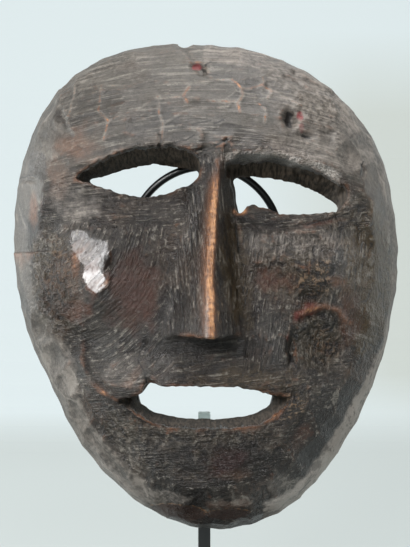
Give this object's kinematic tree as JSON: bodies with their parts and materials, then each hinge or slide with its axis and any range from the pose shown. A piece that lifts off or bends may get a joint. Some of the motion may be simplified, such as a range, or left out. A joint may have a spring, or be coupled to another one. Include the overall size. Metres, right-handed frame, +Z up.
{
  "type": "shaman mask on a display stand",
  "caption": "Hollow carved wooden face mask with a wedge nose, arched eye holes and an open mouth, resting on a wire hoop, post and square foot.",
  "frame": {"origin": "middle of the foot plate's underside", "axes": "+Z up; the mask faces -Y; +X is to the right of someone who looks at its face"},
  "size_m": [0.1902, 0.139, 0.3114],
  "materials": {
    "wood": "dark handled patina, half gloss, worn orange-brown on the edges",
    "black_metal": "black satin paint on steel"
  },
  "bodies": {
    "root": {"mask": "wood", "stand_hoop": "black_metal", "stand_post": "black_metal", "stand_foot": "black_metal"}
  },
  "joints": []
}
